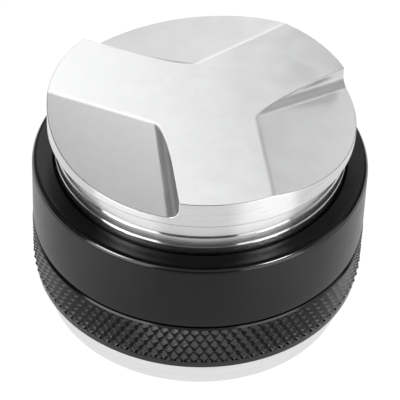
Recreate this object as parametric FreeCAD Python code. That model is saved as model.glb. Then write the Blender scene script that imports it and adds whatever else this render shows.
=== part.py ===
import FreeCAD, Part
import math
import os

# Dual-ended coffee distributor and tamper for 58 mm baskets.
# Millimetres. The tamper face stands on Z = 0 and the distributor face is on top.

# Heights of the bands that show outside, from the bottom up
tamper_rim_height = 5.0
grip_exposure = 1.65
grip_height = 10.65
shadow_gap = 0.2
collar_height = 14.75
neck_exposure = 7.8
rim_height = 5.4

# Outside radii, from the basket that the two faces fit
distributor_radius = 29.0
tamper_extra = 0.25
stop_width = 2.95
grip_proud = 0.1
tamper_radius = distributor_radius + tamper_extra
collar_radius = distributor_radius + stop_width
grip_radius = collar_radius + grip_proud

# Travel of the two heads on the stud
distributor_in_travel = 7.5
tamper_in_travel = 1.4
end_clearance = 0.3
end_reserve = 0.4

# Bore of both rings and the necks that slide in it
body_wall = 4.05
bore_radius = collar_radius - body_wall
neck_clearance = 0.3
neck_radius = bore_radius - neck_clearance
band_relief = 0.15
neck_wall = 3.3
neck_lead_chamfer = 0.5

# O-rings
seal_section = 0.75
seal_clearance = 0.05
seal_groove_width = 1.9
seal_land = 0.8
tamper_seal_land = 0.5

# Centre stud, M16 x 2 thread
stud_radius = 7.95
thread_clearance = 0.05
stud_chamfer = 0.8
boss_radius = 11.5

# Web disc and its hub
flange_thickness = 2.0
web_thickness = 2.4
hub_radius = 11.0
hub_above = 3.8
flange_width = 7.4
flange_opening_radius = bore_radius - flange_width
spigot_step = 0.6
spigot_radius = bore_radius + spigot_step
spigot_depth = 0.5
spigot_clearance = 0.1
cross_pin_radius = 1.5
press_clearance = 0.02
cross_pin_inset = 0.3

# Countersunk M3 screws that clamp collar, web disc and grip ring
screw_count = 6
screw_circle_radius = (flange_opening_radius + bore_radius) / 2
screw_radius = 1.5
screw_head_radius = 3.0
screw_head_height = 1.7
screw_tip_inset = 0.4
screw_hole_radius = 1.65
screw_clearance = 0.02
screw_socket_flats = 2.0
screw_socket_depth = 1.1

# Edge breaks
tamper_edge_round = 0.8
small_edge_break = 0.3
collar_edge_round = 1.2
collar_foot_height = 2.35
collar_foot_taper = 0.15
grip_edge_break = 0.25
grip_edge_rise = 0.35
grip_bead_height = 0.45
grip_land_height = 1.43
grip_land_relief = 0.2

# Diamond knurl around the grip ring
knurl_pitch = 2.6
knurl_depth = 0.6
# Angle of the two sets of crossing grooves from the axis
knurl_helix = 30.0

# Recess in the grip ring's underside that clears the tamper head
stop_recess_clearance = 0.35
stop_recess_depth = 0.3

# Depth marks turned into the distributor neck
mark_pitch = 2.2
mark_first_drop = 3.65
mark_count = 2
mark_depth = 0.3
mark_step = 0.12
mark_flank = 0.7

# Three-slope distributor face
arm_azimuth = 38.8
crease_offset = 9.4
wall_offset = 7.8
slope_angle = 11.0
wall_fillet = 2.2
face_edge_round = 0.25
slope_count = 3
# Direction square to a slope's wall, counted from the arm at the slope's crease
wall_angle = 30.0

# Modelling margins
cut_margin = 1.0
match_tolerance = 1e-3

# Plates behind the two working faces
tamper_plate = 4.2
tamper_cover = 2.5
distributor_plate = 6.6
distributor_cover = 3.4

# Levels that follow from the sizes above
grip_bottom = tamper_rim_height + grip_exposure
grip_top = grip_bottom + grip_height
collar_bottom = grip_top + shadow_gap
collar_top = collar_bottom + collar_height
rim_bottom = collar_top + neck_exposure
face_top = rim_bottom + rim_height
web_top = collar_bottom - spigot_depth
web_bottom = web_top - web_thickness
flange_bottom = web_bottom - flange_thickness
collar_flange_top = web_top + flange_thickness
hub_bottom = flange_bottom
hub_top = web_top + hub_above
stud_bottom = tamper_cover + tamper_in_travel + end_reserve
thread_bore_radius = stud_radius + thread_clearance
tamper_neck_top = flange_bottom - tamper_in_travel - end_clearance
tamper_boss_top = hub_bottom - tamper_in_travel - end_clearance
distributor_neck_bottom = collar_flange_top + distributor_in_travel + end_clearance
distributor_boss_bottom = hub_top + distributor_in_travel + end_clearance
distributor_bore_top = face_top - distributor_cover
stud_top = distributor_bore_top - distributor_in_travel - end_reserve
neck_inner_radius = neck_radius - neck_wall
seal_ring_radius = bore_radius - seal_clearance - seal_section
seal_floor_radius = seal_ring_radius - seal_section - seal_clearance
distributor_seal_level = distributor_neck_bottom + seal_land + seal_groove_width / 2
tamper_seal_level = tamper_neck_top - tamper_seal_land - seal_groove_width / 2
cross_pin_level = web_top + hub_above / 2

AXIS = FreeCAD.Vector(0, 0, 1)
ORIGIN = FreeCAD.Vector(0, 0, 0)


def turned(points):
    """Solid of revolution about Z from a closed list of (radius, height) points."""
    vectors = [FreeCAD.Vector(radius, 0, height) for radius, height in points]
    vectors.append(vectors[0])
    face = Part.Face(Part.makePolygon(vectors))
    return face.revolve(ORIGIN, AXIS, 360)


def cylinder(radius, bottom, top):
    """Upright cylinder on the Z axis between two heights."""
    return Part.makeCylinder(radius, top - bottom, FreeCAD.Vector(0, 0, bottom), AXIS)


def tube(outer, inner, bottom, top):
    """Upright tube on the Z axis."""
    return cylinder(outer, bottom, top).cut(cylinder(inner, bottom, top))


def circle_edges(shape, radius, height):
    """Circular edges of a shape that lie at one radius and height about Z."""
    found = []
    for edge in shape.Edges:
        box = edge.BoundBox
        flat = abs(box.ZMin - height) < match_tolerance and abs(box.ZMax - height) < match_tolerance
        if not flat:
            continue
        point = edge.Vertexes[0].Point
        if abs(math.hypot(point.x, point.y) - radius) < match_tolerance:
            found.append(edge)
    return found


def seal_groove(level):
    """Ring-shaped cutter for the groove that holds an O-ring."""
    half = seal_groove_width / 2
    return tube(neck_radius + cut_margin, seal_floor_radius, level - half, level + half)


def seal(level):
    """O-ring."""
    return Part.makeTorus(seal_ring_radius, seal_section, FreeCAD.Vector(0, 0, level), AXIS)


def tamper_head():
    """Flat stainless head with neck, threaded boss and O-ring groove."""
    lead = neck_lead_chamfer
    edge = small_edge_break
    body = turned([
        (0, 0),
        (tamper_radius, 0),
        (tamper_radius, tamper_rim_height - edge),
        (tamper_radius - edge, tamper_rim_height),
        (neck_radius, tamper_rim_height),
        (neck_radius, tamper_neck_top - lead / 2),
        (neck_radius - lead / 2, tamper_neck_top),
        (neck_inner_radius, tamper_neck_top),
        (neck_inner_radius, tamper_plate),
        (boss_radius, tamper_plate),
        (boss_radius, tamper_boss_top),
        (thread_bore_radius, tamper_boss_top),
        (thread_bore_radius, tamper_cover),
        (0, tamper_cover),
    ])
    body = body.makeFillet(tamper_edge_round, circle_edges(body, tamper_radius, 0))
    return body.cut(seal_groove(tamper_seal_level))


def slope_cutter(azimuth):
    """Cutter for one slope: an inclined floor, an upright wall and a concave fillet."""
    reach = 2 * distributor_radius
    above = Part.makeBox(2 * reach, 2 * reach, reach, FreeCAD.Vector(-reach, -reach, 0))
    above.rotate(ORIGIN, FreeCAD.Vector(1, 0, 0), -slope_angle)
    above.translate(FreeCAD.Vector(0, crease_offset, face_top))
    wall_corner = FreeCAD.Vector(wall_offset, -reach, face_top - reach / 2)
    beside = Part.makeBox(reach, 2 * reach, reach, wall_corner)
    beside.rotate(ORIGIN, AXIS, wall_angle)
    cutter = above.common(beside)
    turn = math.radians(wall_angle)
    normal = FreeCAD.Vector(math.cos(turn), math.sin(turn), 0)
    foot = []
    for edge in cutter.Edges:
        ends = [vertex.Point for vertex in edge.Vertexes]
        on_wall = all(abs(point.dot(normal) - wall_offset) < match_tolerance for point in ends)
        on_floor = all(abs(point.z - floor_height(point.y)) < match_tolerance for point in ends)
        if on_wall and on_floor:
            foot.append(edge)
    cutter = cutter.makeFillet(wall_fillet, foot)
    cutter.rotate(ORIGIN, AXIS, azimuth)
    return cutter


def floor_height(distance):
    """Height of a slope's floor at a distance from the centre, square to its crease."""
    return face_top - math.tan(math.radians(slope_angle)) * (distance - crease_offset)


def distributor_head():
    """Three-slope stainless head with marked neck, threaded boss and O-ring groove."""
    edge = small_edge_break
    lead = neck_lead_chamfer
    band_radius = neck_radius - band_relief
    mark_top = rim_bottom - mark_first_drop
    points = [
        (0, face_top),
        (distributor_radius, face_top),
        (distributor_radius, rim_bottom + edge),
        (distributor_radius - edge, rim_bottom),
        (band_radius, rim_bottom),
        (band_radius, mark_top + mark_step),
    ]
    for number in range(mark_count):
        mark = mark_top - number * mark_pitch
        if number > 0:
            points.append((neck_radius, mark + mark_step))
        points.append((neck_radius - mark_depth, mark))
        points.append((neck_radius, mark - mark_flank))
    points += [
        (neck_radius, distributor_neck_bottom + lead),
        (neck_radius - lead / 2, distributor_neck_bottom),
        (neck_inner_radius, distributor_neck_bottom),
        (neck_inner_radius, face_top - distributor_plate),
        (boss_radius, face_top - distributor_plate),
        (boss_radius, distributor_boss_bottom),
        (thread_bore_radius, distributor_boss_bottom),
        (thread_bore_radius, distributor_bore_top),
        (0, distributor_bore_top),
    ]
    body = turned(points).cut(seal_groove(distributor_seal_level))
    for number in range(slope_count):
        body = body.cut(slope_cutter(arm_azimuth + number * 360 / slope_count))
    return body


def break_rim(body):
    """Round the outer edge of the face a little, all the way round."""
    rim = []
    for edge in body.Edges:
        samples = edge.discretize(5)
        outside = all(abs(math.hypot(p.x, p.y) - distributor_radius) < match_tolerance for p in samples)
        high = all(p.z > rim_bottom + small_edge_break + match_tolerance for p in samples)
        if outside and high:
            rim.append(edge)
    return body.makeFillet(face_edge_round, rim)


def collar():
    """Smooth ring with the inner flange that the screws pull on."""
    foot_radius = collar_radius - collar_foot_taper
    body = turned([
        (bore_radius + small_edge_break, collar_top),
        (collar_radius, collar_top),
        (collar_radius, collar_bottom + collar_foot_height),
        (foot_radius, collar_bottom + small_edge_break),
        (foot_radius - small_edge_break, collar_bottom),
        (spigot_radius, collar_bottom),
        (spigot_radius, web_top),
        (flange_opening_radius, web_top),
        (flange_opening_radius, collar_flange_top),
        (bore_radius, collar_flange_top),
        (bore_radius, collar_top - small_edge_break),
    ])
    body = body.makeFillet(collar_edge_round, circle_edges(body, collar_radius, collar_top))
    for x, y in screw_places():
        hole = Part.makeCylinder(
            screw_radius + screw_clearance, flange_thickness,
            FreeCAD.Vector(x, y, web_top), AXIS)
        body = body.cut(hole)
    return body


def knurl_core(bottom, top):
    """Solid bar with the diamond knurl all round, between two heights."""
    count = round(2 * math.pi * grip_radius / knurl_pitch)
    row_height = knurl_pitch / 2 / math.tan(math.radians(knurl_helix))
    rows = max(1, round((top - bottom) / row_height))
    rings = []
    for row in range(rows + 1):
        height = bottom + (top - bottom) * row / rows
        ring = []
        for step in range(2 * count):
            radius = grip_radius if (step + row) % 2 == 0 else grip_radius - knurl_depth
            turn = math.pi * step / count
            ring.append(FreeCAD.Vector(radius * math.cos(turn), radius * math.sin(turn), height))
        rings.append(ring)
    faces = [Part.Face(Part.makePolygon(ring + ring[:1])) for ring in (rings[0], rings[-1])]
    for row in range(rows):
        for step in range(2 * count):
            after = (step + 1) % (2 * count)
            low, low_next = rings[row][step], rings[row][after]
            high, high_next = rings[row + 1][step], rings[row + 1][after]
            # The groove joins the two deep corners of the cell, and the facets meet along it
            if (step + row) % 2 == 0:
                facets = ((low, low_next, high), (low_next, high_next, high))
            else:
                facets = ((low, low_next, high_next), (low, high_next, high))
            for facet in facets:
                faces.append(Part.Face(Part.makePolygon(list(facet) + [facet[0]])))
    return Part.makeSolid(Part.makeShell(faces))


def grip_ring():
    """Ring under the collar that carries the diamond knurl."""
    pocket_radius = spigot_radius + spigot_clearance
    recess_radius = tamper_radius + stop_recess_clearance
    recess_top = grip_bottom + stop_recess_depth
    edge = grip_edge_break
    land_radius = grip_radius - grip_land_relief
    knurl_bottom = grip_bottom + grip_land_height
    knurl_top = grip_top - grip_bead_height
    blank_radius = grip_radius + cut_margin
    body = turned([
        (bore_radius + small_edge_break, recess_top),
        (recess_radius, recess_top),
        (recess_radius, grip_bottom),
        (land_radius - edge, grip_bottom),
        (land_radius, grip_bottom + edge),
        (land_radius, knurl_bottom),
        (blank_radius, knurl_bottom),
        (blank_radius, knurl_top),
        (grip_radius, knurl_top),
        (grip_radius, grip_top - grip_edge_rise),
        (grip_radius - edge, grip_top),
        (pocket_radius, grip_top),
        (pocket_radius, web_bottom),
        (flange_opening_radius, web_bottom),
        (flange_opening_radius, flange_bottom),
        (bore_radius, flange_bottom),
        (bore_radius, recess_top + small_edge_break),
    ])
    waste = cylinder(blank_radius + cut_margin, knurl_bottom, knurl_top)
    body = body.cut(waste.cut(knurl_core(knurl_bottom, knurl_top)))
    for x, y in screw_places():
        base = FreeCAD.Vector(x, y, flange_bottom)
        body = body.cut(Part.makeCylinder(screw_hole_radius, flange_thickness, base, AXIS))
        body = body.cut(Part.makeCone(
            screw_head_radius + screw_clearance, screw_radius + screw_clearance,
            screw_head_height, base, AXIS))
    return body


def web_disc():
    """Disc clamped between the two rings, with the hub that holds the stud."""
    body = cylinder(spigot_radius, web_bottom, web_top)
    body = body.fuse(cylinder(hub_radius, hub_bottom, hub_top)).removeSplitter()
    body = body.cut(cylinder(thread_bore_radius, hub_bottom, hub_top))
    for x, y in screw_places():
        base = FreeCAD.Vector(x, y, web_bottom)
        body = body.cut(Part.makeCylinder(screw_hole_radius, web_thickness, base, AXIS))
    return body.cut(cross_bar(cross_pin_radius + press_clearance, 2 * hub_radius + cut_margin))


def centre_stud():
    """Threaded stud that both heads screw on."""
    body = turned([
        (0, stud_bottom),
        (stud_radius - stud_chamfer, stud_bottom),
        (stud_radius, stud_bottom + stud_chamfer),
        (stud_radius, stud_top - stud_chamfer),
        (stud_radius - stud_chamfer, stud_top),
        (0, stud_top),
    ])
    return body.cut(cross_bar(cross_pin_radius + press_clearance, 2 * hub_radius + cut_margin))


def cross_bar(radius, length):
    """Cylinder across the hub at the level of the cross pin."""
    start = FreeCAD.Vector(-length / 2, 0, cross_pin_level)
    return Part.makeCylinder(radius, length, start, FreeCAD.Vector(1, 0, 0))


def cross_pin():
    """Pin that keeps the stud from turning in the hub."""
    return cross_bar(cross_pin_radius, 2 * (hub_radius - cross_pin_inset))


def screw_places():
    """Centres of the six clamp screws."""
    places = []
    for number in range(screw_count):
        angle = math.radians(number * 360 / screw_count)
        places.append((screw_circle_radius * math.cos(angle), screw_circle_radius * math.sin(angle)))
    return places


def body_screws():
    """Countersunk screws, heads down, all in one compound."""
    screws = []
    for x, y in screw_places():
        base = FreeCAD.Vector(x, y, flange_bottom)
        length = collar_flange_top - screw_tip_inset - flange_bottom
        screw = Part.makeCone(screw_head_radius, screw_radius, screw_head_height, base, AXIS)
        screw = screw.fuse(Part.makeCylinder(screw_radius, length, base, AXIS)).removeSplitter()
        corner = screw_socket_flats / math.sqrt(3)
        points = []
        for side in range(7):
            turn = math.radians(60 * side)
            points.append(base + FreeCAD.Vector(corner * math.cos(turn), corner * math.sin(turn), 0))
        socket = Part.Face(Part.makePolygon(points)).extrude(AXIS * screw_socket_depth)
        screws.append(screw.cut(socket))
    return Part.makeCompound(screws)


def export(name, shape):
    """Write one node."""
    if not shape.isValid():
        raise ValueError(name + " is not valid")
    shape.exportStep("parts/" + name + ".step")
    print(name, len(shape.Solids), round(shape.Volume, 1))


os.makedirs("parts", exist_ok=True)
export("tamper_head", tamper_head())
export("tamper_seal", seal(tamper_seal_level))
export("grip_ring", grip_ring())
export("web_disc", web_disc())
export("centre_stud", centre_stud())
export("cross_pin", cross_pin())
export("body_screws", body_screws())
export("collar", collar())
export("distributor_seal", seal(distributor_seal_level))
export("distributor_head", break_rim(distributor_head()))
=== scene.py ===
import math

import bmesh
import bpy
from mathutils import Matrix, Vector


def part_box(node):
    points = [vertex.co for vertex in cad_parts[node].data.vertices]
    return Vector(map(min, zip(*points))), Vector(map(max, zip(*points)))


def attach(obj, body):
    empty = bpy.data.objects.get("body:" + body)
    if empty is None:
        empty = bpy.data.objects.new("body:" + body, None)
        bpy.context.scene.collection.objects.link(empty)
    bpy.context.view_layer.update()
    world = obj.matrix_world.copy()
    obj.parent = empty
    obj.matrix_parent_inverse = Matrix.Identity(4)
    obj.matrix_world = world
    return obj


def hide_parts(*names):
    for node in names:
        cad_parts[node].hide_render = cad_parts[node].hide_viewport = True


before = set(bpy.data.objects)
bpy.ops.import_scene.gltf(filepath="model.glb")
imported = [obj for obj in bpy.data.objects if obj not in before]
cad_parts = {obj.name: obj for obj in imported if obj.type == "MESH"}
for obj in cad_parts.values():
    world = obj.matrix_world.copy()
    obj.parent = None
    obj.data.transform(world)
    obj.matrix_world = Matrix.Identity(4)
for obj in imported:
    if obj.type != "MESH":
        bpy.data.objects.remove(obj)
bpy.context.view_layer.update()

# Lengths are in metres and angles in radians, in the frame of the CAD model: the tamper face
# stands on Z = 0 and the distributor face is on top.
MM = 0.001

# Sizes that the CAD model gives
HEAD_LOW, HEAD_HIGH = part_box("distributor_head")
COLLAR_LOW, COLLAR_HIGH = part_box("collar")
GRIP_LOW, GRIP_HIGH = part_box("grip_ring")
TAMPER_LOW, TAMPER_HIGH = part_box("tamper_head")
FACE_TOP = HEAD_HIGH.z
FACE_RADIUS = HEAD_HIGH.x
GRIP_RADIUS = GRIP_HIGH.x
COLLAR_RADIUS = COLLAR_HIGH.x
TAMPER_RADIUS = TAMPER_HIGH.x

# Three-slope face
SLOPE_COUNT = 3
ARM_AZIMUTH = math.radians(38.8)
CREASE_OFFSET = 9.4 * MM
WALL_OFFSET = 7.8 * MM
SLOPE_ANGLE = math.radians(11)
WALL_ANGLE = math.radians(30)
WALL_FILLET = 2.2 * MM

# Soft edges of the face
CREASE_ROUND = 0.55 * MM
CREASE_BAND = 1.2 * MM
WALL_ROUND = 0.22 * MM
FLOOR_MARGIN = 0.15 * MM
RIM_ROUND = 0.18 * MM

# Fineness of the face
ROUND_STEPS = 6
WALL_STEPS = 16
FILLET_SAMPLES = 24
CREASE_STATIONS = 10
CORNER_STATIONS = 24
WALL_STATIONS = 10
FLOOR_ARC_STEPS = 60
TOP_ARC_STEPS = 28
RIM_STEPS = 5
COLUMN_GAP = 5e-4
SMOOTH_LIMIT = math.cos(math.radians(26))

# Points closer than this are one, and planes cut this exactly
WELD_DISTANCE = 0.001 * MM
CUT_TOLERANCE = 0.0001 * MM

# Rim, neck and threaded boss of the two heads
RIM_HEIGHT = 5.4 * MM
EDGE_BREAK = 0.3 * MM
NECK_RADIUS = 27.6 * MM
NECK_INSIDE = 24.3 * MM
NECK_FILLET = 0.2 * MM
BAND_RELIEF = 0.15 * MM
FIRST_MARK = 9.05 * MM
MARK_PITCH = 2.2 * MM
MARK_COUNT = 2
MARK_DEPTH = 0.22 * MM
MARK_STEP = 0.12 * MM
MARK_FLANK = 0.32 * MM
MARK_ROUND = 0.05 * MM
BOSS_RADIUS = 11.5 * MM
BOSS_DROP = 16.85 * MM
BORE_RADIUS = 8.0 * MM
BORE_DROP = 3.4 * MM
PLATE_THICKNESS = 6.6 * MM
SEAL_GROOVE_WIDTH = 1.9 * MM
SEAL_GROOVE_RADIUS = 26.3 * MM
TAMPER_RIM_HEIGHT = 5.0 * MM
TAMPER_EDGE_ROUND = 0.8 * MM
TAMPER_PLATE = 4.2 * MM
TAMPER_COVER = 2.5 * MM

# Collar
COLLAR_EDGE_ROUND = 1.2 * MM
COLLAR_FOOT_HEIGHT = 2.35 * MM
COLLAR_FOOT_TAPER = 0.15 * MM

# Inside of the two rings
BORE_WALL_RADIUS = 27.9 * MM
FLANGE_RADIUS = 20.5 * MM
FLANGE_HEIGHT = 2.0 * MM
SPIGOT_RADIUS = 28.5 * MM
SPIGOT_POCKET_RADIUS = 28.6 * MM
WEB_THICKNESS = 2.4 * MM
SPIGOT_DEPTH = 0.5 * MM
SCREW_COUNT = 6
SCREW_CIRCLE = (FLANGE_RADIUS + BORE_WALL_RADIUS) / 2
COLLAR_HOLE_RADIUS = 1.52 * MM
GRIP_HOLE_RADIUS = 1.65 * MM
RING_STEPS = 288
HOLE_STEPS = 32
CORNER_STEPS = 8
EDGE_STEPS = 4

# Diamond knurl of the grip ring
KNURL_COUNT = 103
KNURL_PHASE = math.radians(1.37)
KNURL_ROW = 1.65 * MM
KNURL_DEPTH = 0.72 * MM
KNURL_FLAT = 0.1
KNURL_BREAK = 0.25 * MM
BEAD_HEIGHT = 0.45 * MM
BEAD_RISE = 0.34 * MM
BEAD_BREAK = 0.25 * MM
LAND_HEIGHT = 1.43 * MM
LAND_RELIEF = 0.5 * MM
LAND_BREAK = 0.15 * MM
STOP_RECESS_RADIUS = 29.6 * MM
STOP_RECESS_DEPTH = 0.3 * MM

# Camera
CAMERA_PLACE = (0.000265, -0.34995, 0.33740)
CAMERA_DOWN = math.radians(42.16)
CAMERA_ROLL = math.radians(2.22)
CAMERA_LENS = 220.0
CAMERA_SENSOR = 36.0

# Finishes. A pattern's values spread mostly between the first two. The lathe's marks change this
# much faster with height than with radius.
PATTERN_LOW = 0.3
PATTERN_HIGH = 0.7
LATHE_RISE = 1.37
ANODISED_BLACK = (0.0012, 0.0012, 0.0014)

# Floor, and the painted pools of light on it: extra glow painted into the floor's emission, not cast
# by a lamp. Each pool has the azimuths in degrees where it starts, is full, starts to fade and ends,
# the distances in millimetres where it starts and is full, and its glow.
FLOOR_SIZE = 4.0
FLOOR_GLOW = 1.0
PAINTED_LIGHT_POOLS = [
    ((-70, -66, -30, -18), (50, 60), 0.38),
    ((18, 30, 58, 66), (50, 60), 0.38),
    ((24, 44, 60, 68), (90, 140), 3.5),
    ((-68, -60, -44, -24), (90, 140), 1.0),
]

# Lights: name, azimuths from the front to the object's right and elevations in degrees, radiance
WORLD_LIGHT = 0.05
PANEL_DISTANCE = 1.4
PANEL_MIDDLE = 30 * MM
PANELS = [
    ("right_box_high", (46, 66), (38, 46), 26.0),
    ("right_box", (47, 66), (-2, 28), 1.4),
    ("right_box_inner", (28, 47), (-2, 28), 1.2),
    ("left_box_high", (-69, -47), (28, 45), 12.0),
    ("left_box", (-69, -47), (-2, 28), 1.9),
    ("left_box_inner", (-47, -26), (-2, 45), 1.6),
    ("right_wing", (80, 140), (25, 60), 0.55),
    ("right_wing_low", (68, 100), (0, 25), 0.4),
    ("left_wing", (-140, -80), (25, 60), 0.15),
    ("left_wing_low", (-140, -105), (0, 25), 0.37),
    ("back_left_high", (-180, -160), (44, 62), 2.6),
    ("back_left", (-180, -140), (26, 44), 1.95),
    ("back_left_low", (-180, -160), (8, 26), 0.85),
    ("back_right_high", (160, 180), (44, 62), 1.8),
    ("back_right", (140, 160), (26, 44), 1.55),
    ("back_right_low", (160, 180), (8, 26), 3.0),
    ("front_fill", (-40, 40), (25, 65), 0.3),
]


def smooth_step(value):
    """0 to 1 with level ends."""
    value = min(max(value, 0.0), 1.0)
    return value * value * (3 - 2 * value)


def bezier(start, corner, end, share):
    """Point of a quadratic curve that rounds a corner."""
    return start * (1 - share) ** 2 + corner * 2 * share * (1 - share) + end * share ** 2


def walk(points, distance):
    """Point at a distance along a polyline, and the index of the vertex before it."""
    for index in range(len(points) - 1):
        step = (points[index + 1] - points[index]).length
        if distance <= step or index == len(points) - 2:
            share = min(distance / step, 1.0) if step else 0.0
            return points[index].lerp(points[index + 1], share), index
        distance -= step


def resample(points, count):
    """The polyline again, with evenly spaced points."""
    total = sum((b - a).length for a, b in zip(points, points[1:]))
    return [walk(points, total * number / (count - 1))[0] for number in range(count)]


class Slope:
    """One slope of the face, in a frame whose X axis runs along its crease and whose top is Z = 0."""

    def __init__(self):
        self.fall = math.tan(SLOPE_ANGLE)
        self.along = self.fall * math.cos(WALL_ANGLE)
        self.across = self.fall * math.sin(WALL_ANGLE)
        self.stretch = math.hypot(1, self.along)
        lean = self.across / self.stretch
        self.foot_turn = math.pi / 2 - math.atan(lean)
        self.foot_offset = WALL_FILLET * (1 - math.cos(self.foot_turn))
        foot_level = (self.fall * (CREASE_OFFSET - WALL_OFFSET * math.sin(WALL_ANGLE))
                      - self.across * WALL_FILLET) / self.stretch
        self.axis_level = foot_level + WALL_FILLET * math.hypot(1, lean)
        self.upright_start = self.stretch * self.axis_level / self.along
        self.corner_run = self.edge_run(self.foot_turn)
        self.corner_x = self.plan(self.corner_run, self.foot_offset).x
        self.floor_edge = self.foot_offset + FLOOR_MARGIN
        floor_reach = (WALL_OFFSET + self.floor_edge) * math.sin(WALL_ANGLE)
        self.floor_run = (CREASE_OFFSET + CREASE_BAND - floor_reach) / math.cos(WALL_ANGLE)
        self.floor_x = self.plan(self.floor_run, self.floor_edge).x

    def plan(self, run, offset):
        """Place in plan of a point at a run along the wall and an offset square to it."""
        reach = WALL_OFFSET + offset
        return Vector((reach * math.cos(WALL_ANGLE) - run * math.sin(WALL_ANGLE),
                       reach * math.sin(WALL_ANGLE) + run * math.cos(WALL_ANGLE), 0))

    def edge_run(self, turn):
        """Run along the wall at which the fillet, turned this far, comes out of the flat top."""
        return self.stretch * (self.axis_level - WALL_FILLET * math.sin(turn)) / self.along

    def height(self, run, offset):
        """Height of the floor and its fillet."""
        if offset >= self.foot_offset:
            return -self.fall * (self.plan(run, offset).y - CREASE_OFFSET)
        rise = math.sqrt(max(WALL_FILLET ** 2 - (WALL_FILLET - offset) ** 2, 0))
        return self.stretch * (self.axis_level - rise) - self.along * run

    def crease_station(self, x, rim_x):
        """Profile across the crease at x, from the flat top to the floor."""
        share = (x - self.corner_x) / (rim_x - self.corner_x)
        radius = math.hypot(x, CREASE_OFFSET)
        bend = smooth_step(share)
        skew = (self.floor_x - self.corner_x) * (1 - share) ** 3 / CREASE_BAND

        def place(offset):
            y = CREASE_OFFSET + offset
            bent = x + bend * (math.sqrt(radius ** 2 - y ** 2) - x)
            bent += skew * max(offset, 0) * (1 - bend)
            return Vector((bent, y, -self.fall * max(offset, 0)))
        edge = [place(-CREASE_ROUND), place(0), place(CREASE_ROUND)]
        profile = [bezier(*edge, number / ROUND_STEPS) for number in range(ROUND_STEPS)]
        return profile + resample([edge[2], place(CREASE_BAND)], WALL_STEPS)

    def wall_station(self, turn, run, rim_run):
        """Profile from the flat top down the wall to the floor. The fillet starts at this turn."""
        start_offset = WALL_FILLET * (1 - math.cos(turn))
        share = (run - self.corner_run) / (rim_run - self.corner_run)
        radius = math.hypot(run, WALL_OFFSET + start_offset)
        bend = smooth_step(share)
        skew = (self.floor_run - self.corner_run) * (1 - share) ** 3
        size = WALL_ROUND + (CREASE_ROUND - WALL_ROUND) * smooth_step(turn / self.foot_turn) ** 2

        def bent_run(base, offset):
            return base + bend * (math.sqrt(radius ** 2 - (WALL_OFFSET + offset) ** 2) - run)

        reach = WALL_FILLET / self.along * self.stretch
        inward = Vector((WALL_FILLET * math.sin(turn), reach * math.cos(turn))).normalized()
        top_offset = start_offset - size * inward.y
        top = self.plan(bent_run(run - size * inward.x, top_offset), top_offset)
        edge = self.plan(run, start_offset)
        down = [edge]
        foot = self.height(run, start_offset) if turn == 0 else 0.0
        if foot < 0:
            down.append(edge + Vector((0, 0, foot)))
        for number in range(1, FILLET_SAMPLES + 1):
            angle = turn + (self.foot_turn - turn) * number / FILLET_SAMPLES
            offset = WALL_FILLET * (1 - math.cos(angle))
            share_across = (offset - start_offset) / (self.floor_edge - start_offset)
            place_run = bent_run(run + skew * share_across, offset)
            point = self.plan(place_run, offset)
            point.z = self.height(place_run, offset)
            down.append(point)
        last_run = bent_run(run + skew, self.floor_edge)
        last = self.plan(last_run, self.floor_edge)
        last.z = self.height(last_run, self.floor_edge)
        down.append(last)
        landing, index = walk(down, size)
        profile = [bezier(top, edge, landing, number / ROUND_STEPS) for number in range(ROUND_STEPS)]
        return profile + resample([landing] + down[index + 1:], WALL_STEPS)

    def stations(self, radius):
        """Profiles from the rim along the crease, round the inner corner and out along the wall."""
        rim_x = math.sqrt(radius ** 2 - CREASE_OFFSET ** 2)
        rim_run = math.sqrt(radius ** 2 - WALL_OFFSET ** 2)
        found = []
        for number in range(CREASE_STATIONS):
            share = number / CREASE_STATIONS
            found.append(self.crease_station(rim_x + (self.corner_x - rim_x) * share, rim_x))
        for number in range(CORNER_STATIONS):
            turn = self.foot_turn * (1 - number / CORNER_STATIONS)
            found.append(self.wall_station(turn, self.edge_run(turn), rim_run))
        for number in range(WALL_STATIONS + 1):
            run = self.upright_start + (rim_run - self.upright_start) * number / WALL_STATIONS
            found.append(self.wall_station(0.0, run, rim_run))
        return found


def turned_about_z(points, angle):
    """Points turned about the Z axis."""
    turn = Matrix.Rotation(angle, 3, "Z")
    return [turn @ point for point in points]


def arc_between(first, last, steps, height):
    """Points strictly between two points at one radius about Z, with a height for each."""
    radius = math.hypot(first.x, first.y)
    start = math.atan2(first.y, first.x)
    sweep = (math.atan2(last.y, last.x) - start) % (2 * math.pi)
    found = []
    for number in range(1, steps):
        angle = start + sweep * number / steps
        point = Vector((radius * math.cos(angle), radius * math.sin(angle), 0))
        point.z = height(point)
        found.append(point)
    return found


def face_loop(slope, radius):
    """Closed line at one radius round the whole face, anticlockwise from the first crease."""
    profiles = slope.stations(radius)
    crease_end, wall_end = profiles[0], profiles[-1]
    next_crease = turned_about_z(crease_end[:1], 2 * math.pi / SLOPE_COUNT)[0]
    floor = arc_between(crease_end[-1], wall_end[-1], FLOOR_ARC_STEPS,
                        lambda point: -slope.fall * (point.y - CREASE_OFFSET))
    top = arc_between(wall_end[0], next_crease, TOP_ARC_STEPS, lambda point: 0.0)
    sector = crease_end + floor + wall_end[::-1] + top
    loop = []
    for number in range(SLOPE_COUNT):
        loop += turned_about_z(sector, number * 2 * math.pi / SLOPE_COUNT)
    return loop


def on_cylinder(point, radius):
    """The point moved square to the Z axis until it is at a radius."""
    scale = radius / math.hypot(point.x, point.y)
    return Vector((point.x * scale, point.y * scale, point.z))


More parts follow.
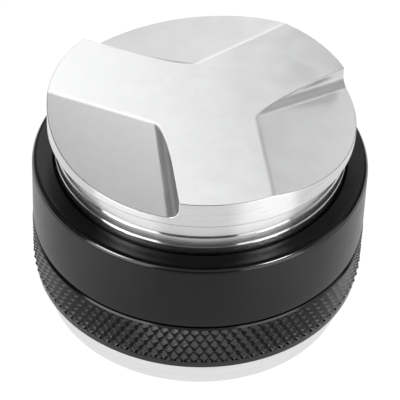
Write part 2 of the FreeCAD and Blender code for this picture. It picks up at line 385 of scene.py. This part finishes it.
def rim_lines(inner, outer):
    """Lines that round the rim, from the inner line of the face to its last line on the cylinder."""
    lines = [[] for _ in range(RIM_STEPS)]
    count = len(outer)
    for index in range(count):
        corner = outer[index]
        ahead, behind = outer[(index + 1) % count], outer[index - 1]
        radial = Vector((corner.x, corner.y, 0)).normalized()
        sideways = Vector((-radial.y, radial.x, 0))
        step = ahead - behind
        away = (Vector((0, 0, 1)) * step.dot(sideways) - sideways * step.z).normalized()
        end = on_cylinder(corner - away * RIM_ROUND, FACE_RADIUS)
        for number in range(RIM_STEPS):
            lines[number].append(bezier(inner[index], corner, end, (number + 1) / RIM_STEPS))
    return lines


def corner_arc(centre, radius, start, end, steps=CORNER_STEPS):
    """Radius and height of points on an arc, between two angles in degrees from outwards."""
    angles = [math.radians(start + (end - start) * number / steps) for number in range(steps + 1)]
    return [(centre[0] + radius * math.cos(angle), centre[1] + radius * math.sin(angle))
            for angle in angles]


def seal_groove(level):
    """Profile of the groove that holds an O-ring, from its upper edge down."""
    half = SEAL_GROOVE_WIDTH / 2
    return [(NECK_RADIUS, level + half), (SEAL_GROOVE_RADIUS, level + half),
            (SEAL_GROOVE_RADIUS, level - half), (NECK_RADIUS, level - half)]


def seal_level(node):
    """Height of the middle of an O-ring."""
    low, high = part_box(node)
    return (low.z + high.z) / 2


def head_profile():
    """Radius and height of each ring below the face, from the foot of the rim to the bore's end."""
    foot = HEAD_LOW.z - FACE_TOP
    band = NECK_RADIUS - BAND_RELIEF
    rim_foot = -RIM_HEIGHT
    edge_centre = (FACE_RADIUS - EDGE_BREAK, rim_foot + EDGE_BREAK)
    points = corner_arc(edge_centre, EDGE_BREAK, 0, -90, EDGE_STEPS)
    points += [(band + NECK_FILLET, rim_foot), (band, rim_foot - NECK_FILLET)]
    for number in range(MARK_COUNT):
        mark = -FIRST_MARK - number * MARK_PITCH
        wall = NECK_RADIUS if number else band
        points += [
            (wall, mark + MARK_STEP + MARK_ROUND),
            (wall - MARK_ROUND, mark + MARK_STEP),
            (NECK_RADIUS - MARK_DEPTH, mark),
            (NECK_RADIUS - MARK_ROUND, mark - MARK_FLANK),
            (NECK_RADIUS, mark - MARK_FLANK - MARK_ROUND),
        ]
    points += seal_groove(seal_level("distributor_seal") - FACE_TOP)
    points += [
        (NECK_RADIUS, foot + EDGE_BREAK),
        (NECK_RADIUS - EDGE_BREAK, foot),
        (NECK_INSIDE, foot),
        (NECK_INSIDE, -PLATE_THICKNESS),
        (BOSS_RADIUS, -PLATE_THICKNESS),
        (BOSS_RADIUS, -BOSS_DROP),
        (BORE_RADIUS, -BOSS_DROP),
        (BORE_RADIUS, -BORE_DROP),
    ]
    return points


def tamper_profile():
    """Radius and height of each ring, from the edge of the flat face to the bore's end."""
    neck_top = TAMPER_HIGH.z
    foot_centre = (TAMPER_RADIUS - TAMPER_EDGE_ROUND, TAMPER_EDGE_ROUND)
    edge_centre = (TAMPER_RADIUS - EDGE_BREAK, TAMPER_RIM_HEIGHT - EDGE_BREAK)
    points = corner_arc(foot_centre, TAMPER_EDGE_ROUND, -90, 0)
    points += corner_arc(edge_centre, EDGE_BREAK, 0, 90, EDGE_STEPS)
    points += [
        (NECK_RADIUS + NECK_FILLET, TAMPER_RIM_HEIGHT),
        (NECK_RADIUS, TAMPER_RIM_HEIGHT + NECK_FILLET),
    ]
    points += seal_groove(seal_level("tamper_seal"))[::-1]
    points += [
        (NECK_RADIUS, neck_top - EDGE_BREAK),
        (NECK_RADIUS - EDGE_BREAK, neck_top),
        (NECK_INSIDE, neck_top),
        (NECK_INSIDE, TAMPER_PLATE),
        (BOSS_RADIUS, TAMPER_PLATE),
        (BOSS_RADIUS, neck_top),
        (BORE_RADIUS, neck_top),
        (BORE_RADIUS, TAMPER_COVER),
    ]
    return points


class Skin:
    """Mesh in the making: points are shared where they coincide."""

    def __init__(self, lift=0.0, turn=0.0):
        self.mesh = bmesh.new()
        self.place = Matrix.Translation((0, 0, lift)) @ Matrix.Rotation(turn, 4, "Z")

    def points(self, places):
        """New vertices."""
        return [self.mesh.verts.new(self.place @ place) for place in places]

    def face(self, corners, slot=0, smooth=True):
        """New face, unless its corners are too few once the repeated ones are dropped."""
        kept = [corner for index, corner in enumerate(corners) if corner is not corners[index - 1]]
        if len(kept) > 2:
            made = self.mesh.faces.new(kept)
            made.material_index = slot
            made.smooth = smooth

    def strip(self, upper, lower, closed=False, slot=0):
        """Four-sided faces between two rows of vertices."""
        count = len(upper)
        for index in range(count if closed else count - 1):
            ahead = (index + 1) % count
            self.face([upper[index], lower[index], lower[ahead], upper[ahead]], slot)

    def finish(self, name, body, node, slot_name, materials):
        """The object, riding on its body in the place of a CAD node."""
        bmesh.ops.remove_doubles(self.mesh, verts=self.mesh.verts, dist=WELD_DISTANCE)
        bmesh.ops.recalc_face_normals(self.mesh, faces=self.mesh.faces)
        data = bpy.data.meshes.new(name)
        self.mesh.to_mesh(data)
        self.mesh.free()
        piece = bpy.data.objects.new(name, data)
        bpy.context.scene.collection.objects.link(piece)
        for material in materials:
            data.materials.append(material)
        even_normals(data)
        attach(piece, body)
        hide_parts(node)
        return piece


def even_normals(data):
    """Shading normals that follow the larger faces and stay apart across a sharp edge."""
    around = [[] for _ in data.vertices]
    for polygon in data.polygons:
        for vertex in polygon.vertices:
            around[vertex].append(polygon)
    normals = []
    for polygon in data.polygons:
        for vertex in polygon.vertices:
            total = Vector()
            for other in around[vertex]:
                if other.normal.dot(polygon.normal) > SMOOTH_LIMIT:
                    total += other.normal * (other.area / MM ** 2)
            normals.append(total.normalized() if polygon.use_smooth else polygon.normal)
    data.normals_split_custom_set(normals)


def face_skin(skin, slope):
    """The flat three-armed top, the three slopes, and the band between them."""
    inner_radius = FACE_RADIUS - RIM_ROUND
    profiles = slope.stations(inner_radius)
    rows = []
    for number in range(SLOPE_COUNT):
        angle = number * 2 * math.pi / SLOPE_COUNT
        rows.append([skin.points(turned_about_z(profile, angle)) for profile in profiles])
    loop = skin.points(face_loop(slope, inner_radius))
    per_sector = len(loop) // SLOPE_COUNT
    profile_size = len(profiles[0])
    top_outline = []
    for number, sector in enumerate(rows):
        for first, second in zip(sector, sector[1:]):
            skin.strip(second, first)
        start = number * per_sector
        floor_arc = loop[start + profile_size:start + profile_size + FLOOR_ARC_STEPS - 1]
        top_arc = loop[start + per_sector - TOP_ARC_STEPS + 1:start + per_sector]
        skin.face([row[-1] for row in sector] + floor_arc[::-1])
        top_outline += [row[0] for row in sector] + top_arc
    skin.face(top_outline)
    return loop


def head_columns(line):
    """Groups of neighbouring points of a line round the rim that share one azimuth."""
    columns = []
    last = None
    for point in line:
        angle = math.atan2(point.y, point.x)
        if last is not None:
            angle = last + max((angle - last + math.pi) % (2 * math.pi) - math.pi, 0.0)
        if last is None or angle - last > COLUMN_GAP:
            columns.append((angle, []))
            last = angle
        place = (FACE_RADIUS * math.cos(last), FACE_RADIUS * math.sin(last), point.z)
        columns[-1][1].append(Vector(place))
    return columns


def distributor_head(face_material, side_material):
    """Steel head with three slopes, a rim, and a neck with turned depth marks."""
    slope = Slope()
    skin = Skin(FACE_TOP, ARM_AZIMUTH)
    inner = face_loop(slope, FACE_RADIUS - RIM_ROUND)
    outer = face_loop(slope, FACE_RADIUS)
    previous = face_skin(skin, slope)
    lines = rim_lines(inner, outer)
    columns = head_columns(lines[-1])
    lines[-1] = [point for _, points in columns for point in points]
    for line in lines:
        current = skin.points(line)
        skin.strip(previous, current, closed=True)
        previous = current
    rings = [ring_points(skin, [angle for angle, _ in columns], radius, level)
             for radius, level in head_profile()]
    starts = []
    count = 0
    for _, points in columns:
        starts.append(count)
        count += len(points)
    for index in range(len(columns)):
        ahead = (index + 1) % len(columns)
        run = previous[starts[index]:starts[index] + len(columns[index][1])]
        skin.face(run[::-1] + [rings[0][index], rings[0][ahead], previous[starts[ahead]]], 1)
    for upper, lower in zip(rings, rings[1:]):
        skin.strip(upper, lower, closed=True, slot=1)
    skin.face(rings[-1], 1)
    return skin.finish("distributor_head_steel", "distributor", "distributor_head",
                       "distributor_steel", [face_material, side_material])


def ring_points(skin, angles, radius, level):
    """Ring of vertices at a radius and height, one for each azimuth."""
    return skin.points([Vector((radius * math.cos(angle), radius * math.sin(angle), level))
                        for angle in angles])


def circle_angles(steps):
    """Azimuths of a ring's vertices."""
    return [2 * math.pi * number / steps for number in range(steps)]


def turned(skin, profile, steps, bright=()):
    """Rings of vertices along a profile, joined by strips. The bright strips take slot 1."""
    rings = [ring_points(skin, circle_angles(steps), radius, level) for radius, level in profile]
    for number, (upper, lower) in enumerate(zip(rings, rings[1:])):
        skin.strip(upper, lower, closed=True, slot=1 if number in bright else 0)
    return rings


def tamper_head(material):
    """Flat steel head with its neck, O-ring groove and threaded boss."""
    skin = Skin()
    rings = turned(skin, tamper_profile(), RING_STEPS)
    skin.face(rings[0])
    skin.face(rings[-1])
    return skin.finish("tamper_head_steel", "tamper", "tamper_head", "tamper_steel", [material])


def collar(material, edge_material):
    """Smooth ring with a rounded top edge, a tapered foot and the flange that the screws pull on."""
    low, high = COLLAR_LOW.z + SPIGOT_DEPTH, COLLAR_HIGH.z
    foot = COLLAR_RADIUS - COLLAR_FOOT_TAPER
    flange_top = COLLAR_LOW.z + FLANGE_HEIGHT
    skin = Skin()
    bore_edge = (BORE_WALL_RADIUS + EDGE_BREAK, high - EDGE_BREAK)
    profile = [(BORE_WALL_RADIUS, flange_top), (BORE_WALL_RADIUS, high - EDGE_BREAK)]
    profile += corner_arc(bore_edge, EDGE_BREAK, 180, 90, EDGE_STEPS)[1:]
    middle = len(profile) + CORNER_STEPS
    edge = range(middle - 1, middle + CORNER_STEPS // 2)
    profile += corner_arc((COLLAR_RADIUS - COLLAR_EDGE_ROUND, high - COLLAR_EDGE_ROUND),
                          COLLAR_EDGE_ROUND, 90, 0, 2 * CORNER_STEPS)
    profile += [
        (COLLAR_RADIUS, low + COLLAR_FOOT_HEIGHT),
        (foot, low + EDGE_BREAK),
        (foot - EDGE_BREAK, low),
        (SPIGOT_RADIUS, low),
        (SPIGOT_RADIUS, COLLAR_LOW.z),
    ]
    rings = turned(skin, profile, RING_STEPS, edge)
    flange(skin, rings[-1], rings[0], flange_top, COLLAR_HOLE_RADIUS)
    return skin.finish("collar_turned", "housing", "collar",
                       "collar_anodised", [material, edge_material])


def knurl_diamonds(skin, middle, reach):
    """Raised diamonds in staggered rows, to a height above and below the middle."""
    rows = math.ceil(reach / KNURL_ROW) + 1
    pitch = 2 * math.pi / KNURL_COUNT
    corners = [(-0.5, 0), (0, -1), (0.5, 0), (0, 1)]
    levels = ((1.0, GRIP_RADIUS - KNURL_DEPTH), (KNURL_FLAT, GRIP_RADIUS))
    for row in range(-rows, rows + 1):
        for number in range(KNURL_COUNT):
            centre = number + (row % 2) / 2
            rings = []
            for share, radius in levels:
                places = []
                for across, up in corners:
                    angle = (centre + across * share) * pitch + KNURL_PHASE
                    level = middle + (row + up * share) * KNURL_ROW
                    places.append(Vector((radius * math.cos(angle), radius * math.sin(angle), level)))
                rings.append(skin.points(places))
            foot, crown = rings
            skin.face(crown, smooth=False)
            for index in range(4):
                ahead = (index + 1) % 4
                skin.face([foot[index], foot[ahead], crown[ahead], crown[index]], smooth=False)
    bmesh.ops.remove_doubles(skin.mesh, verts=skin.mesh.verts, dist=WELD_DISTANCE)


def knurl_band(skin, low, high):
    """The knurl between two heights, with both of its ends turned down to a chamfer."""
    knurl_diamonds(skin, (low + high) / 2, (high - low) / 2)
    cuts = (
        (low, -1, True),
        (high, 1, True),
        (low + KNURL_BREAK, -1, False),
        (high - KNURL_BREAK, 1, False),
    )
    for level, side, clear in cuts:
        everything = skin.mesh.verts[:] + skin.mesh.edges[:] + skin.mesh.faces[:]
        bmesh.ops.bisect_plane(skin.mesh, geom=everything, dist=CUT_TOLERANCE, plane_co=(0, 0, level),
                               plane_no=(0, 0, side), clear_outer=clear)
    for vert in skin.mesh.verts:
        room = max(KNURL_BREAK - (high - vert.co.z), KNURL_BREAK - (vert.co.z - low), 0)
        radius = math.hypot(vert.co.x, vert.co.y)
        if radius > GRIP_RADIUS - room:
            vert.co = on_cylinder(vert.co, GRIP_RADIUS - room)


def open_edges(skin, level):
    """Edges of the mesh's border at one height."""
    return [edge for edge in skin.mesh.edges if edge.is_boundary
            and all(abs(vert.co.z - level) < WELD_DISTANCE for vert in edge.verts)]


def grip_ring(material, edge_material):
    """Knurled ring with a bead above, a land below, a bore, and the flange that the screws clamp."""
    low = GRIP_LOW.z + LAND_HEIGHT
    high = GRIP_HIGH.z - BEAD_HEIGHT
    skin = Skin()
    knurl_band(skin, low, high)
    rims = {level: open_edges(skin, level) for level in (low, high)}
    land = GRIP_RADIUS - LAND_RELIEF
    web_low = COLLAR_LOW.z - WEB_THICKNESS
    bore_foot = GRIP_LOW.z + STOP_RECESS_DEPTH
    outside = turned(skin, [
        (land, low),
        (land, GRIP_LOW.z + LAND_BREAK),
        (land - LAND_BREAK, GRIP_LOW.z),
        (STOP_RECESS_RADIUS, GRIP_LOW.z),
        (STOP_RECESS_RADIUS, bore_foot),
        (BORE_WALL_RADIUS + EDGE_BREAK, bore_foot),
        (BORE_WALL_RADIUS, bore_foot + EDGE_BREAK),
        (BORE_WALL_RADIUS, web_low - FLANGE_HEIGHT),
    ], RING_STEPS)
    bead_chamfer = 3
    inside = turned(skin, [
        (BORE_WALL_RADIUS, web_low),
        (SPIGOT_POCKET_RADIUS, web_low),
        (SPIGOT_POCKET_RADIUS, GRIP_HIGH.z),
        (GRIP_RADIUS - BEAD_BREAK, GRIP_HIGH.z),
        (GRIP_RADIUS, GRIP_HIGH.z - BEAD_RISE),
        (GRIP_RADIUS - KNURL_DEPTH, GRIP_HIGH.z - BEAD_RISE),
        (GRIP_RADIUS - KNURL_DEPTH, high),
    ], RING_STEPS, bright=[bead_chamfer])
    flange(skin, outside[-1], inside[0], web_low, GRIP_HOLE_RADIUS)
    for rim, ring in ((rims[low], outside[0]), (rims[high], inside[-1])):
        around = [skin.mesh.edges.get((ring[index - 1], ring[index])) for index in range(len(ring))]
        made = bmesh.ops.bridge_loops(skin.mesh, edges=rim + around)
        for face in made["faces"]:
            face.smooth = False
    return skin.finish("grip_ring_knurled", "housing", "grip_ring",
                       "grip_anodised", [material, edge_material])


def flange(skin, lower_outer, upper_outer, top, hole_radius):
    """Inner flange of a ring, pierced by the screw holes."""
    levels = (top - FLANGE_HEIGHT, top)
    around = circle_angles(RING_STEPS // 2)
    opening = [ring_points(skin, around, FLANGE_RADIUS, level) for level in levels]
    skin.strip(*opening, closed=True)
    loops = [[lower_outer, opening[0]], [upper_outer, opening[1]]]
    for number in range(SCREW_COUNT):
        angle = 2 * math.pi * number / SCREW_COUNT
        middle = Vector((SCREW_CIRCLE * math.cos(angle), SCREW_CIRCLE * math.sin(angle), 0))
        hole = []
        for level in levels:
            places = [middle + Vector((hole_radius * math.cos(turn),
                                       hole_radius * math.sin(turn), level))
                      for turn in circle_angles(HOLE_STEPS)]
            hole.append(skin.points(places))
        skin.strip(*hole, closed=True)
        loops[0].append(hole[0])
        loops[1].append(hole[1])
    for side in loops:
        edges = []
        for loop in side:
            for index in range(len(loop)):
                pair = (loop[index - 1], loop[index])
                edges.append(skin.mesh.edges.get(pair) or skin.mesh.edges.new(pair))
        bmesh.ops.triangle_fill(skin.mesh, use_beauty=True, use_dissolve=False, edges=edges)


class Finish:
    """Material in the making. Its patterns lie on the object's own coordinates, in millimetres."""

    def __init__(self, name, colour, roughness, metallic=1.0):
        self.material = bpy.data.materials.new(name)
        self.material.use_nodes = True
        self.tree = self.material.node_tree
        self.shader = self.tree.nodes["Principled BSDF"]
        self.colour, self.roughness = colour, roughness
        self.set("Base Color", (*colour, 1))
        self.set("Roughness", roughness)
        self.set("Metallic", metallic)
        coordinates = self.node("ShaderNodeTexCoord").outputs["Object"]
        self.place = self.vector("SCALE", coordinates, scale=1 / MM)

    def set(self, socket, value):
        """A constant on the shader's own socket."""
        self.shader.inputs[socket].default_value = value

    def node(self, kind, links=(), **settings):
        """New node, with settings by attribute and links by input number or name."""
        made = self.tree.nodes.new(kind)
        for key, value in settings.items():
            setattr(made, key, value)
        for key, source in dict(links).items():
            self.tree.links.new(source, made.inputs[key])
        return made

    def vector(self, operation, first, second=None, scale=None):
        """Vector math on a socket and a constant or another socket."""
        made = self.node("ShaderNodeVectorMath", {0: first}, operation=operation)
        if isinstance(second, tuple):
            made.inputs[1].default_value = second
        elif second is not None:
            self.tree.links.new(second, made.inputs[1])
        if scale is not None:
            made.inputs["Scale"].default_value = scale
        return made.outputs["Value" if operation == "LENGTH" else "Vector"]

    def turning(self, around):
        """Coordinates that vary fast across the marks of a lathe and slowly around them."""
        flat = self.vector("MULTIPLY", self.place, (1, 1, 0))
        radius = self.vector("LENGTH", flat)
        heading = self.vector("SCALE", self.vector("NORMALIZE", flat), scale=around)
        apart = self.node("ShaderNodeSeparateXYZ", {0: self.place})
        drop = self.node("ShaderNodeMath", {0: apart.outputs["Z"]}, operation="MULTIPLY_ADD")
        drop.inputs[1].default_value = LATHE_RISE
        self.tree.links.new(radius, drop.inputs[2])
        level = self.node("ShaderNodeCombineXYZ", {2: drop.outputs[0]})
        return self.vector("ADD", heading, level.outputs[0])

    def noise(self, coordinates, size, detail=2.0, distortion=0.0):
        """Noise whose lumps are about size across, from 0 to 1."""
        made = self.node("ShaderNodeTexNoise", {"Vector": coordinates})
        made.inputs["Scale"].default_value = 1 / size
        made.inputs["Detail"].default_value = detail
        made.inputs["Distortion"].default_value = distortion
        return made.outputs["Fac"]

    def spread(self, value, low, high, start=PATTERN_LOW, end=PATTERN_HIGH):
        """A pattern's values from start to end, spread from low to high."""
        made = self.node("ShaderNodeMapRange", {"Value": value})
        ends = {"From Min": start, "From Max": end, "To Min": low, "To Max": high}
        for key, number in ends.items():
            made.inputs[key].default_value = number
        return made.outputs["Result"]

    def total(self, first, second, share=0.5):
        """Two patterns in one, the second with this share."""
        made = self.node("ShaderNodeMix", {2: first, 3: second})
        made.inputs[0].default_value = share
        return made.outputs[0]

    def tint(self, pattern, change):
        """The base colour, darker and lighter by a share."""
        ramp = self.node("ShaderNodeValToRGB", {0: pattern})
        for stop, factor in zip(ramp.color_ramp.elements, (1 - change, 1 + change)):
            stop.color = (*[channel * factor for channel in self.colour], 1)
        ramp.color_ramp.elements[0].position = PATTERN_LOW
        ramp.color_ramp.elements[1].position = PATTERN_HIGH
        self.tree.links.new(ramp.outputs["Color"], self.shader.inputs["Base Color"])

    def rough(self, pattern, change):
        """The roughness, lower and higher by an amount."""
        value = self.spread(pattern, self.roughness - change, self.roughness + change)
        self.tree.links.new(value, self.shader.inputs["Roughness"])

    def bump(self, pattern, depth):
        """Relief of a depth in millimetres."""
        made = self.node("ShaderNodeBump", {"Height": pattern})
        made.inputs["Strength"].default_value = 1.0
        made.inputs["Distance"].default_value = depth * MM
        self.tree.links.new(made.outputs["Normal"], self.shader.inputs["Normal"])

    def across_turning(self, amount):
        """Highlights drawn out across the marks of a lathe."""
        tangent = self.node("ShaderNodeTangent", direction_type="RADIAL", axis="Z")
        self.tree.links.new(tangent.outputs[0], self.shader.inputs["Tangent"])
        self.set("Anisotropic", amount)
        self.set("Anisotropic Rotation", 0.25)


def satin_steel():
    """Face of the sloped head: bead-blasted, with faint clouds."""
    finish = Finish("satin_steel", (0.595, 0.598, 0.6), 0.31)
    clouds = finish.noise(finish.place, 5.0, 3.0, 0.6)
    grain = finish.noise(finish.place, 0.12, 2.0)
    finish.tint(finish.total(clouds, grain, 0.3), 0.05)
    finish.rough(clouds, 0.02)
    finish.bump(grain, 0.001)
    return finish.material


def turned_steel(name, colour):
    """Rim, neck and tamper: fine marks of the lathe."""
    finish = Finish(name, colour, 0.17)
    marks = finish.noise(finish.turning(1.2), 0.09, 3.0)
    bands = finish.noise(finish.turning(2.5), 0.7, 2.0)
    finish.tint(finish.total(marks, bands, 0.4), 0.06)
    finish.rough(marks, 0.03)
    finish.bump(marks, 0.0015)
    finish.across_turning(0.9)
    return finish.material


def anodised(name, roughness, gloss):
    """Black anodised aluminium, with faint marks of the lathe under the colour."""
    finish = Finish(name, ANODISED_BLACK, roughness, 0.0)
    finish.set("IOR", gloss)
    marks = finish.noise(finish.turning(1.5), 0.12, 2.0)
    bloom = finish.noise(finish.place, 3.0, 3.0)
    finish.tint(finish.total(marks, bloom), 0.2)
    finish.rough(finish.total(marks, bloom), 0.04)
    finish.bump(marks, 0.001)
    return finish.material


def knurled():
    """Black anodised knurl, whose facets the knurling wheels left uneven."""
    finish = Finish("knurl_anodised", ANODISED_BLACK, 0.15, 0.0)
    finish.set("IOR", 1.48)
    grain = finish.noise(finish.place, 0.35, 3.0, 0.4)
    finish.tint(grain, 0.3)
    finish.rough(grain, 0.05)
    finish.bump(grain, 0.025)
    return finish.material


def plain_metal(name, colour, roughness):
    """Turned metal inside the body, with coarser marks of the lathe."""
    finish = Finish(name, colour, roughness)
    marks = finish.noise(finish.turning(2.0), 0.2, 3.0)
    finish.tint(marks, 0.08)
    finish.rough(marks, 0.06)
    finish.bump(marks, 0.004)
    return finish.material


def rubber():
    """Matte black O-ring rubber, a little dusty."""
    finish = Finish("nitrile_rubber", (0.018, 0.018, 0.019), 0.6, 0.0)
    dust = finish.noise(finish.place, 0.4, 4.0)
    finish.tint(dust, 0.35)
    finish.rough(dust, 0.08)
    finish.bump(dust, 0.01)
    return finish.material


def add_camera():
    """Camera at the photograph's viewing angle."""
    data = bpy.data.cameras.new("camera")
    data.lens = CAMERA_LENS
    data.sensor_width = CAMERA_SENSOR
    camera = bpy.data.objects.new("camera", data)
    bpy.context.scene.collection.objects.link(camera)
    tilt = Matrix.Rotation(math.pi / 2 - CAMERA_DOWN, 4, "X")
    roll = Matrix.Rotation(CAMERA_ROLL, 4, "Z")
    camera.matrix_world = Matrix.Translation(CAMERA_PLACE) @ tilt @ roll
    bpy.context.scene.camera = camera


def floor_glow_with_painted_pools():
    """White floor that glows evenly like a light table, with painted pools of light where its glow is
    brighter.
    """
    finish = Finish("floor_white_painted_pools", (0.03, 0.03, 0.03), 1.0, 0.0)
    finish.set("Specular IOR Level", 0.0)
    finish.set("Emission Color", (1, 1, 1, 1))
    apart = finish.node("ShaderNodeSeparateXYZ", {0: finish.place})
    ahead = finish.node("ShaderNodeMath", {0: apart.outputs["Y"]}, operation="MULTIPLY")
    ahead.inputs[1].default_value = -1.0
    heading = finish.node("ShaderNodeMath", {0: apart.outputs["X"], 1: ahead.outputs[0]},
                          operation="ARCTAN2").outputs[0]
    radius = finish.vector("LENGTH", finish.place)
    glow = None
    # Each pool adds painted light: extra emission in a sector of the floor, fading in with distance
    # from the axis.
    for azimuths, distances, strength in PAINTED_LIGHT_POOLS:
        start, full, last, end = (math.radians(azimuth) for azimuth in azimuths)
        rise = finish.spread(heading, 0, 1, start, full)
        fall = finish.spread(heading, 1, 0, last, end)
        across = finish.node("ShaderNodeMath", {0: rise, 1: fall}, operation="MULTIPLY").outputs[0]
        outwards = finish.spread(radius, 0, strength, *distances)
        total = finish.node("ShaderNodeMath", {0: across, 1: outwards}, operation="MULTIPLY_ADD")
        total.inputs[2].default_value = FLOOR_GLOW
        if glow is not None:
            finish.tree.links.new(glow, total.inputs[2])
        glow = total.outputs[0]
    finish.tree.links.new(glow, finish.shader.inputs["Emission Strength"])
    return finish.material


def add_floor():
    """White floor, with the painted pools of light in its glow."""
    mesh = bpy.data.meshes.new("floor")
    size = FLOOR_SIZE / 2
    corners = [(-size, -size, 0), (size, -size, 0), (size, size, 0), (-size, size, 0)]
    mesh.from_pydata(corners, [], [(0, 1, 2, 3)])
    floor = bpy.data.objects.new("floor", mesh)
    bpy.context.scene.collection.objects.link(floor)
    mesh.materials.append(floor_glow_with_painted_pools())


def add_panel(name, azimuths, elevations, radiance):
    """Softbox that the object sees between two azimuths and two elevations."""
    turn = math.radians(sum(azimuths) / 2)
    lift = math.radians(sum(elevations) / 2)
    width, height = (2 * PANEL_DISTANCE * math.tan(math.radians(last - first) / 2)
                     for first, last in (azimuths, elevations))
    width *= math.cos(lift)
    away = Vector((math.sin(turn) * math.cos(lift), -math.cos(turn) * math.cos(lift), math.sin(lift)))
    data = bpy.data.lights.new(name, "AREA")
    data.shape = "RECTANGLE"
    data.size, data.size_y = width, height
    data.energy = radiance * math.pi * width * height
    light = bpy.data.objects.new(name, data)
    bpy.context.scene.collection.objects.link(light)
    light.location = Vector((0, 0, PANEL_MIDDLE)) + away * PANEL_DISTANCE
    light.rotation_euler = (-away).to_track_quat("-Z", "Y").to_euler()


def add_lights():
    """Dim surroundings, and softboxes in front, at the sides and behind."""
    world = bpy.data.worlds.new("studio")
    bpy.context.scene.world = world
    world.use_nodes = True
    back = world.node_tree.nodes["Background"]
    back.inputs["Color"].default_value = (1, 1, 1, 1)
    back.inputs["Strength"].default_value = WORLD_LIGHT
    for name, azimuths, elevations, radiance in PANELS:
        add_panel(name, azimuths, elevations, radiance)


def dress():
    """Give each CAD node its finish."""
    black = anodised("black_anodised", 0.32, 1.31)
    edge = anodised("edge_anodised", 0.15, 1.75)
    grip = knurled()
    side = turned_steel("turned_steel", (0.6, 0.6, 0.6))
    tamper = turned_steel("tamper_steel", (0.73, 0.73, 0.73))
    face = satin_steel()
    seal = rubber()
    finishes = {
        "tamper_head": tamper,
        "tamper_seal": seal,
        "grip_ring": grip,
        "web_disc": plain_metal("turned_aluminium", (0.72, 0.72, 0.73), 0.35),
        "centre_stud": plain_metal("stud_steel", (0.62, 0.62, 0.62), 0.3),
        "cross_pin": plain_metal("pin_steel", (0.55, 0.55, 0.55), 0.22),
        "body_screws": plain_metal("screw_steel", (0.58, 0.58, 0.57), 0.28),
        "collar": black,
        "distributor_seal": seal,
        "distributor_head": face,
    }
    for node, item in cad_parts.items():
        for slot in item.material_slots:
            slot.material = finishes[node]
    distributor_head(face, side)
    collar(black, edge)
    grip_ring(grip, edge)
    tamper_head(tamper)


dress()
add_camera()
add_floor()
add_lights()
bpy.context.scene.view_settings.view_transform = "Standard"
